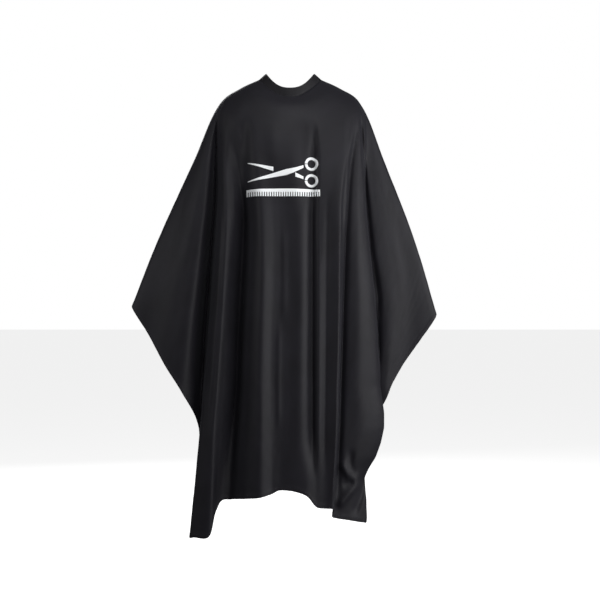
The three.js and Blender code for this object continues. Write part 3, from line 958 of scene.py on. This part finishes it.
@dataclass
class Hems:
    """The cloth's edges, each turned in once and stitched down."""

    cloth: CapeCloth
    stitches: Stitches
    stitch_inset: float = 10.5 * MM

    def build(self) -> list[bpy.types.Object]:
        """Makes the turned-in strips and their stitching.

        Returns:
            The pieces.
        """
        made = []
        for edge in Edge:
            steps = (self.cloth.hem_width, 0.6 * self.cloth.hem_width, 0.3 * self.cloth.hem_width, 0.0003)
            lines = [self.cloth.line(edge, step) for step in steps]
            under = 1.2 * self.cloth.thickness if edge is Edge.HEM else 0.5 * self.cloth.thickness
            outer = np.array([line - up * (under + 0.00005) for line, up in lines])
            inner = np.array([line - up * (under + 0.0005) for line, up in lines])
            strip = mesh_piece("hem_" + edge.value, np.concatenate([outer, inner]),
                               sheet_faces(*outer.shape[:2]))
            run = lengths_along(outer, 1)
            flat = np.stack([run, np.broadcast_to(np.array(steps)[:, None], run.shape)],
                            axis=-1).reshape(-1, 2)
            write_uv(strip, np.concatenate([flat, flat]))
            strip.data.materials.append(self.cloth.finish.material())
            line, up = self.cloth.line(edge, self.stitch_inset)
            outside = line + up * (1.2 if edge is Edge.HEM else 0.5) * self.cloth.thickness
            inside = line - up * (under + 0.0005)
            rows = [self.stitches.lay(outside, up), self.stitches.lay(inside, -up)]
            made += [strip, self.stitches.piece("stitching_" + edge.value, rows)]
        for piece in made:
            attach(piece, Body.CAPE.value)
        return made


# ---------------------------------------------------------------- neckband and closure tab


@dataclass
class BandForm:
    """The section of the neckband: a strip folded over its stiffener, rounded on top and stitched twice."""

    neck: NeckForm
    proud: float = 0.15 * MM
    line_inset: float = 3.2 * MM
    line_sink: float = 0.35 * MM

    def section(self) -> np.ndarray:
        """The closed outline of the band's section.

        Returns:
            Points, each how far down the band and how far out from the lining's inner face.
        """
        inset = self.line_inset / self.neck.height
        fold = 0.5 * self.neck.thickness / self.neck.height
        downs = np.array([1.0, 0.985, 1 - 0.6 * inset, 1 - inset, 1 - 1.5 * inset, 0.72, 0.5, 0.3,
                          1.5 * inset, inset,
                          0.7 * inset])
        sharpness = 28  # how narrow the dip along a row of stitches is
        sink = self.line_sink * (np.exp(-(((downs - inset) * sharpness) ** 2))
                                 + np.exp(-(((downs - 1 + inset) * sharpness) ** 2)))
        sink[0] = 0.4 * MM
        outer = np.stack([downs, self.neck.thickness + self.proud - sink], axis=-1)
        inner = np.stack([downs, -self.proud + sink], axis=-1)[::-1]
        turn = np.radians(np.linspace(80, -80, 7))
        radius = 0.5 * self.neck.thickness + self.proud
        top = np.stack([fold - fold * np.cos(turn), 0.5 * self.neck.thickness + radius * np.sin(turn)],
                       axis=-1)
        return np.concatenate([outer, top, inner])


@dataclass
class Neckband:
    """The band that stands round the neck."""

    form: BandForm
    stitches: Stitches
    columns: int = 260
    # painted shade: the band is the cape's polyester coloured darker than the cape cloth, to offset the light
    # falling on its flared top
    finish: WovenFinish = field(default_factory=lambda: WovenFinish(
        "polyester_taffeta_band_painted_shade", "#111014", "#17161a", 0.62, 0.05, 0.0011, 0.12, 0.08))

    def build(self) -> list[bpy.types.Object]:
        """Makes the band and its two rows of topstitching.

        Returns:
            The pieces.
        """
        neck = self.form.neck
        section = self.form.section()
        angles = np.linspace(neck.start, neck.end, self.columns)
        ripple = np.array([0.22 * MM * noise.noise(Vector((a * 0.11, 0.0, 4.0))) for a in angles])
        offsets = section[None, :, 1] + ripple[:, None]
        points = neck.point(angles[:, None], section[None, :, 0], offsets)
        band = mesh_piece("neckband_cloth", points, tube_faces(*points.shape[:2]))
        round_section = np.cumsum(np.abs(np.diff(section[:, 0], prepend=section[0, 0]))) * neck.height
        along = lengths_along(points, 0)[:, section.shape[0] // 2]
        flat = np.stack(np.broadcast_arrays(along[:, None], round_section[None, :]), axis=-1)
        write_uv(band, flat)
        band.data.materials.append(self.finish.material())
        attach(band, Body.CAPE.value)
        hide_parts("neckband_outer", "neckband_interfacing", "neckband_lining")
        rows = []
        inset = self.form.line_inset / neck.height
        for down in (inset, 1 - inset):
            for offset, away in ((neck.thickness + self.form.proud - self.form.line_sink, 1.0),
                                 (self.form.line_sink - self.form.proud, -1.0)):
                path = neck.point(angles, down, offset + ripple)
                out = neck.point(angles, down, offset + MM) - neck.point(angles, down, offset)
                rows.append(self.stitches.lay(path, away * out / np.linalg.norm(out, axis=1, keepdims=True)))
        sewn = self.stitches.piece("neckband_stitching", rows)
        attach(sewn, Body.CAPE.value)
        return [band, sewn]


@dataclass
class ClosureTab:
    """The band's free end, which ramps out over the snaps and carries the studs."""

    form: BandForm
    stitches: Stitches
    finish: WovenFinish
    length: float = 62 * MM
    hinge_clearance: float = 1.8 * MM
    root_gap: float = 0.4 * MM
    ramp_length: float = 12 * MM
    standoff: float = 7.3 * MM
    tip_rounding: float = 0.75
    columns: int = 72
    bend_end: float = 9 * MM

    def point(self, along: np.ndarray, down: np.ndarray, offset: np.ndarray) -> np.ndarray:
        """A place on the tab.

        Args:
            along: Metres from the tab's root.
            down: 0 at its top edge and 1 at its lower edge.
            offset: Metres out from the lining's inner face.

        Returns:
            Points, with x, y, z last.
        """
        neck = self.form.neck
        hinge = neck.along(neck.end, self.hinge_clearance)
        along, down, offset = np.broadcast_arrays(along, down, offset)
        reach = float(along.max()) + self.root_gap + 2 * MM
        lengths = np.linspace(-3 * MM, reach, 60)
        angles = np.array([neck.along(hinge, length) if length else hinge for length in lengths])
        angle = np.interp(along + self.root_gap, lengths, angles)
        return neck.point(angle, down, offset + self.standoff * smooth(along, 0, self.ramp_length))

    def taper(self, along: np.ndarray) -> np.ndarray:
        """How much of the band's height the tab keeps, a little less near its tip."""
        to_tip = np.clip((self.length - along) / (0.5 * self.form.neck.height), 0, 1)
        return np.sqrt(1 - self.tip_rounding * (1 - to_tip) ** 2)

    def build(self) -> list[bpy.types.Object]:
        """Makes the tab and its topstitching.

        Returns:
            The pieces.
        """
        section = self.form.section()
        root = -(self.hinge_clearance + self.root_gap)
        along = np.concatenate([np.linspace(root, self.length, self.columns), [self.length + 0.5 * MM]])
        share = self.taper(along)
        share[-1] *= 0.93
        middle = 0.5 * self.form.neck.thickness
        flatten = np.ones_like(along)
        flatten[-1] = 0.45
        downs = 0.5 + (section[None, :, 0] - 0.5) * share[:, None]
        offsets = middle + (section[None, :, 1] - middle) * flatten[:, None]
        points = self.point(along[:, None], downs, offsets)
        tab = mesh_piece("closure_tab_cloth", points, tube_faces(*points.shape[:2]))
        across = np.cumsum(np.abs(np.diff(section[:, 0], prepend=section[0, 0]))) * self.form.neck.height
        write_uv(tab, np.stack(np.broadcast_arrays(along[:, None], across[None, :]), axis=-1))
        # the band's finish: the cape's polyester painted darker than the cape cloth, painted shade against
        # the light it catches
        tab.data.materials.append(self.finish.material())
        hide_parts("tab_outer", "tab_interfacing", "tab_lining")
        sewn = self.stitches.piece("closure_tab_stitching", self._topstitching())
        start, end = self.point(np.array([root, self.bend_end]), 0.5, middle)
        for piece in (tab, sewn):
            tuple(start)
            tuple(end)
            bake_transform(piece)
        return [tab, sewn]

    def _topstitching(self) -> list[np.ndarray]:
        """A row of stitches round the tab's edge, on its outside and its inside."""
        neck = self.form.neck
        inset = self.form.line_inset / neck.height
        out_along = np.linspace(-1 * MM, self.length - 3.4 * MM, 50)
        edge = (0.5 - inset) * self.taper(out_along)
        turn = np.linspace(0.5, -0.5, 9)[1:-1]
        tip = np.full(len(turn), out_along[-1])
        along = np.concatenate([out_along, tip, out_along[::-1]])
        down = np.concatenate([0.5 + edge, 0.5 + turn * 2 * edge[-1], 0.5 - edge[::-1]])
        rows = []
        for offset, away in ((neck.thickness + self.form.proud - 0.1 * MM, 1.0),
                             (-self.form.proud + 0.1 * MM, -1.0)):
            path = self.point(along, down, offset)
            out = self.point(along, down, offset + MM) - path
            rows.append(self.stitches.lay(path, away * out / np.linalg.norm(out, axis=1, keepdims=True)))
        return rows


# ---------------------------------------------------------------- snap fasteners


class SnapPart(Enum):
    """The four pressed parts of a snap, each with its section: radius and height, in millimetres."""

    SOCKET = ((2.35, 0.25), (2.35, 1.45), (2.5, 1.72), (2.85, 1.82), (3.2, 1.72), (3.5, 1.35), (4.0, 1.15),
              (4.7, 1.1), (5.2, 0.95), (5.48, 0.65), (5.5, 0.3), (5.3, 0.05), (4.9, 0.0), (2.6, 0.0))
    RING = ((1.8, 0.15), (1.8, 0.75), (2.0, 0.9), (2.6, 0.92), (3.4, 0.86), (4.3, 0.7), (4.8, 0.48),
            (4.9, 0.25),
            (4.7, 0.05), (4.2, 0.0), (2.0, 0.0))
    STUD = ((0.0, -1.7), (0.8, -1.68), (1.5, -1.5), (1.9, -1.2), (2.0, -0.9), (1.85, -0.55), (1.7, -0.25),
            (1.85, -0.05), (2.4, 0.0), (4.4, 0.0), (4.8, 0.12), (4.9, 0.4), (4.8, 0.68), (4.4, 0.8),
            (0.0, 0.8))
    CAP = ((0.0, 1.2), (1.4, 1.19), (2.7, 1.12), (3.8, 0.98), (4.7, 0.75), (5.3, 0.45), (5.5, 0.2),
           (5.4, 0.04),
           (5.1, 0.0), (0.0, 0.0))


@dataclass
class Snaps:
    """Five sockets along one end of the band and two studs on the tab."""

    form: BandForm
    tab: ClosureTab
    first: float = 12 * MM
    pitch: float = 16 * MM
    sockets: int = 5
    studs: int = 2
    gap: float = 0.6 * MM
    socket_height: float = 1.8 * MM
    ring_height: float = 0.9 * MM
    sides: int = 48
    finish: NickelFinish = field(default_factory=NickelFinish)

    def build(self) -> list[bpy.types.Object]:
        """Makes every part of every snap.

        Returns:
            The pieces.
        """
        neck = self.form.neck
        socket_seat = neck.thickness + self.gap
        stud_seat = socket_seat + self.socket_height + self.gap
        cap_seat = self.tab.standoff + neck.thickness + self.gap
        metal = self.finish.material()
        made = []
        for number in range(self.sockets):
            angle = neck.along(neck.start, self.first + number * self.pitch)
            parts = [(SnapPart.SOCKET, "snap_socket", socket_seat, Body.CAPE),
                     (SnapPart.RING, "socket_ring", -self.gap - self.ring_height, Body.CAPE)]
            if number < self.studs:
                parts += [(SnapPart.STUD, "snap_stud", stud_seat, Body.TAB),
                          (SnapPart.CAP, "stud_cap", cap_seat, Body.TAB)]
            for part, node, seat, body in parts:
                piece = self._turned(f"{node}_{number + 1}_plated", part, angle, seat)
                piece.data.materials.append(metal)
                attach(piece, body.value)
                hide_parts(f"{node}_{number + 1}")
                made.append(piece)
        return made

    def _turned(self, name: str, part: SnapPart, angle: float, seat: float) -> bpy.types.Object:
        """Turns a section about its axis and seats it on the band.

        Args:
            name: The piece's name.
            part: Which part it is.
            angle: Where it sits round the neck, in degrees.
            seat: How far its foot stands out from the lining's inner face.

        Returns:
            The part.
        """
        neck = self.form.neck
        middle = neck.point(angle, 0.5, seat)
        along = neck.point(angle + 1, 0.5, seat) - neck.point(angle - 1, 0.5, seat)
        down = neck.point(angle, 1.0, seat) - neck.point(angle, 0.0, seat)
        out = np.cross(down, along)
        out, along = out / np.linalg.norm(out), along / np.linalg.norm(along)
        third = np.cross(out, along)
        turn = np.linspace(0, 2 * np.pi, self.sides, endpoint=False)
        points: list[np.ndarray] = []
        rings: list[list[int]] = []
        for radius, height in part.value:
            count = self.sides if radius else 1
            ring = [middle + MM * (height * out + radius * (math.cos(t) * along + math.sin(t) * third))
                    for t in turn[:count]]
            rings.append(list(range(len(points), len(points) + count)))
            points += ring
        hollow = len(rings[0]) > 1
        faces: list[tuple[int, ...]] = []
        for a, b in zip(rings, rings[1:] + rings[:1] if hollow else rings[1:]):
            for k in range(self.sides):
                n = (k + 1) % self.sides
                corners = [a[k % len(a)], a[n % len(a)], b[n % len(b)], b[k % len(b)]]
                faces.append(tuple(dict.fromkeys(corners)))
        return mesh_piece(name, np.array(points), faces)


# ---------------------------------------------------------------- chest print


@dataclass
class ChestPrint:
    """A plain sign of the trade: open shears above a comb, printed in white on the chest."""

    cloth: CapeCloth
    x: float = -18.0
    z: float = -312.0
    half_width: float = 112.0
    comb: tuple[float, ...] = (7.0, 3.0, 13.0, 7.0, 2.8, 39.0)
    blade: float = 116.0
    shank: float = 50.0
    half: float = 9.0
    tip: float = 1.2
    shank_end: float = 4.0
    open_angle: float = 27.0
    bow: float = 5.0
    slit: float = 1.5
    shank_start: float = 26.0
    shears_x: float = 8.0
    shears_rise: float = 20.0
    ring: tuple[float, float, float] = (16.0, 8.0, 8.0)
    cell: float = 2.0
    film: float = 0.2
    lift: float = 0.12
    finish: InkFinish = field(default_factory=InkFinish)

    def build(self) -> bpy.types.Object:
        """Lays the print's films on the cloth.

        Returns:
            The print.
        """
        crossing = self.half / math.tan(math.radians(self.open_angle / 2)) + self.slit
        drawn = [self._comb(), self._strip(-self.blade, self.shank, 1),
                 self._strip(-self.blade, -crossing, -1),
                 self._strip(self.shank_start, self.shank, -1), self._ring(1), self._ring(-1)]
        tree = self.cloth.outer_tree()
        outer, inner, keeps = [], [], []
        for places, keep in drawn:
            ground, up = self._lay(tree, places)
            outer.append(ground + up * (self.lift + self.film) * MM)
            inner.append(ground + up * self.lift * MM)
            keeps.append(keep)
        piece = film_piece("chest_print", outer, inner, keeps)
        piece.data.materials.append(self.finish.material())
        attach(piece, Body.CAPE.value)
        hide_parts(*(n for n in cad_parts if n.startswith("print_")))
        return piece

    def _lay(self, tree: BVHTree, places: np.ndarray) -> tuple[np.ndarray, np.ndarray]:
        """Finds the cloth behind each place of the print.

        Args:
            tree: The cloth's outer face.
            places: Grid of places, right and up from the print's centre, in millimetres.

        Returns:
            The points on the cloth and its normals there, facing out.
        """
        ground, up = np.empty((*places.shape[:2], 3)), np.empty((*places.shape[:2], 3))
        for j, i in np.ndindex(*places.shape[:2]):
            right, rise = places[j, i]
            start = Vector(((self.x + right) * MM, -0.5, (self.z + rise) * MM))
            spot, normal, _, _ = tree.ray_cast(start, Vector((0, 1, 0)))
            ground[j, i] = spot
            up[j, i] = normal if normal.y < 0 else -normal
        return ground, up

    def _comb(self) -> tuple[np.ndarray, np.ndarray]:
        """The comb: a crowned spine over a row of teeth.

        Returns:
            Its grid of places and which cells are there.
        """
        spine, crown, tooth, pitch, slot, drop = self.comb
        teeth = int(2 * self.half_width // pitch)
        left = -0.5 * teeth * pitch
        edges = [left + k * pitch + part for k in range(teeth) for part in
                 (0, (pitch - slot) / 2, pitch - slot, pitch - slot / 2)][:-2]
        rights = np.array([*edges])
        spine_rows, tooth_rows = 5, 7
        up = np.concatenate([np.linspace(spine, 0, spine_rows + 1),
                             np.linspace(0, -tooth, tooth_rows + 1)[1:]])
        grid = np.stack(np.meshgrid(rights, up - drop), axis=-1)
        share = np.clip(up / spine, 0, 1)[:, None]
        grid[..., 1] += share * crown * (1 - (grid[..., 0] / left) ** 2)
        cells_down, cells_along = len(up) - 1, len(rights) - 1
        is_spine = np.arange(cells_down)[:, None] < spine_rows
        is_tooth = np.arange(cells_along)[None, :] % 4 < 2
        return grid, is_spine | is_tooth

    def _line(self, along: np.ndarray, lean: int) -> np.ndarray:
        """The middle line of one half of the shears, from the blade's tip to the shank's end."""
        slope = math.tan(math.radians(self.open_angle / 2))
        bow = np.where(along > 0, self.bow * (along / self.shank) ** 2, 0)
        return np.stack([self.shears_x + along, self.shears_rise + lean * (along * slope + bow)], axis=-1)

    def _strip(self, start: float, end: float, lean: int) -> tuple[np.ndarray, np.ndarray]:
        """Part of one half of the shears.

        Args:
            start: Where it starts along the middle line.
            end: Where it ends.
            lean: 1 for the half whose ring is above, -1 for the other.

        Returns:
            Its grid of places and which cells are there.
        """
        along = np.linspace(start, end, int((end - start) / self.cell) + 2)
        half = np.interp(along, (-self.blade, 0, self.shank), (self.tip, self.half, self.shank_end))
        across = np.linspace(1, -1, 7)
        middle = self._line(along, lean)
        grid = np.stack(np.broadcast_arrays(middle[None, :, 0],
                                            middle[None, :, 1] + across[:, None] * half[None, :]),
                        axis=-1)
        return grid, np.ones((len(across) - 1, len(along) - 1), bool)

    def _ring(self, lean: int) -> tuple[np.ndarray, np.ndarray]:
        """A finger ring.

        Args:
            lean: 1 for the upper ring, -1 for the lower.

        Returns:
            Its grid of places and which cells are there.
        """
        radius, width, lift = self.ring
        x, y = self._line(np.array(self.shank), lean)
        turn = np.radians(np.linspace(177, -177, 60))
        reach = radius + np.linspace(0.5, -0.5, 5) * width
        grid = np.stack([x + radius + width + reach[:, None] * np.cos(turn),
                         y + lean * lift + reach[:, None] * np.sin(turn)], axis=-1)
        return grid, np.ones((4, 59), bool)


# ---------------------------------------------------------------- studio


@dataclass
class Studio:
    """A pale floor, soft light and a camera level with the middle of the cape."""

    distance: float = 4.2
    aim: tuple[float, float, float] = (0.03, 0.0, -0.671)
    view_height: float = 1.83
    floor_drop: float = -1.62
    room_light: float = 0.08

    def build(self) -> None:
        """Makes the floor, the lights, the world and the camera."""
        floor = mesh_piece("floor", np.array([[-40, -40, 0], [40, -40, 0], [40, 40, 0], [-40, 40, 0]], float),
                           [(0, 1, 2, 3)])
        floor.location.z = self.floor_drop
        floor.data.materials.append(self._floor_paint())
        self._world()
        bpy.context.scene.view_settings.view_transform = "Standard"
        self._light("key", (2.6, -1.6, 0.4), 1.0, 20)
        self._light("side", (2.8, -0.8, -0.3), 1.0, 36)
        self._light("low", (1.6, -2.0, -0.9), 1.0, 28)
        self._light("fill", (-2.45, -1.25, 0.05), 1.0, 18)
        self._light("top", (0.1, -1.35, 0.9), 0.8, 16)
        self._light("back", (-0.8, 2.8, 0.8), 2.0, 52)
        camera = bpy.data.objects.new("camera", bpy.data.cameras.new("camera"))
        camera.location = Vector(self.aim) + Vector((0, -self.distance, 0))
        camera.rotation_euler = (math.pi / 2, 0, 0)
        camera.data.lens = camera.data.sensor_width * self.distance / self.view_height
        bpy.context.scene.collection.objects.link(camera)
        bpy.context.scene.camera = camera

    def _floor_paint(self) -> bpy.types.Material:
        """Matt white floor paint that throws little light back up, as a floor far below does.

        Returns:
            The node material.
        """
        pale = bpy.data.materials.new("matt_floor_paint")
        pale.use_nodes = True
        tree = pale.node_tree
        shader = tree.nodes["Principled BSDF"]
        shader.inputs["Base Color"].default_value = linear("#f4f4f4")
        shader.inputs["Roughness"].default_value = 0.9
        shader.inputs["Emission Color"].default_value = linear("#ffffff")
        shader.inputs["Emission Strength"].default_value = 0.8
        dull = add_node(tree, "ShaderNodeBsdfDiffuse", values={"Color": linear("#4a4a4a")})
        seen = add_node(tree, "ShaderNodeLightPath").outputs["Is Camera Ray"]
        both = add_node(tree, "ShaderNodeMixShader",
                        links={0: seen, 1: dull.outputs[0], 2: shader.outputs[0]})
        tree.links.new(both.outputs[0], tree.nodes["Material Output"].inputs["Surface"])
        return pale

    def _world(self) -> None:
        """Makes the room: white to look at, and dim as a light so that the folds keep their depth."""
        world = bpy.data.worlds.new("studio")
        world.use_nodes = True
        tree = world.node_tree
        dim = tree.nodes["Background"]
        dim.inputs["Color"].default_value = (1, 1, 1, 1)
        dim.inputs["Strength"].default_value = self.room_light
        white = add_node(tree, "ShaderNodeBackground", values={"Color": (1, 1, 1, 1), "Strength": 1.0})
        seen = add_node(tree, "ShaderNodeLightPath").outputs["Is Camera Ray"]
        both = add_node(tree, "ShaderNodeMixShader", links={0: seen, 1: dim.outputs[0], 2: white.outputs[0]})
        tree.links.new(both.outputs[0], tree.nodes["World Output"].inputs["Surface"])
        bpy.context.scene.world = world

    def _light(self, name: str, place: tuple[float, float, float], size: float, power: float) -> None:
        """Adds a soft square light that faces the cape.

        Args:
            name: The light's name.
            place: Where it stands, in metres.
            size: Its side, in metres.
            power: In watts.
        """
        lamp = bpy.data.lights.new(name, "AREA")
        lamp.size, lamp.energy = size, power
        holder = bpy.data.objects.new(name, lamp)
        holder.location = place
        holder.rotation_euler = (Vector(self.aim) - Vector(place)).to_track_quat("-Z", "Y").to_euler()
        bpy.context.scene.collection.objects.link(holder)


def main() -> None:
    """Builds every sub-assembly in order and reports it."""
    logging.basicConfig(level=logging.INFO, format="%(message)s")
    Studio().build()
    neck = NeckForm()
    form = BandForm(neck)
    stitches = Stitches()
    cloth = CapeCloth(Drape(neck))
    cape = cloth.build()
    on_it = [*Hems(cloth, stitches).build(), ChestPrint(cloth).build()]
    cloth.dress(cape)
    band = Neckband(form, stitches)
    tab = ClosureTab(form, stitches, band.finish)
    for piece in [cape, *on_it, *band.build(), *tab.build(), *Snaps(form, tab).build()]:
        LOG.info("%s: %d points", piece.name, len(piece.data.vertices))


if __name__ == "__main__":
    main()
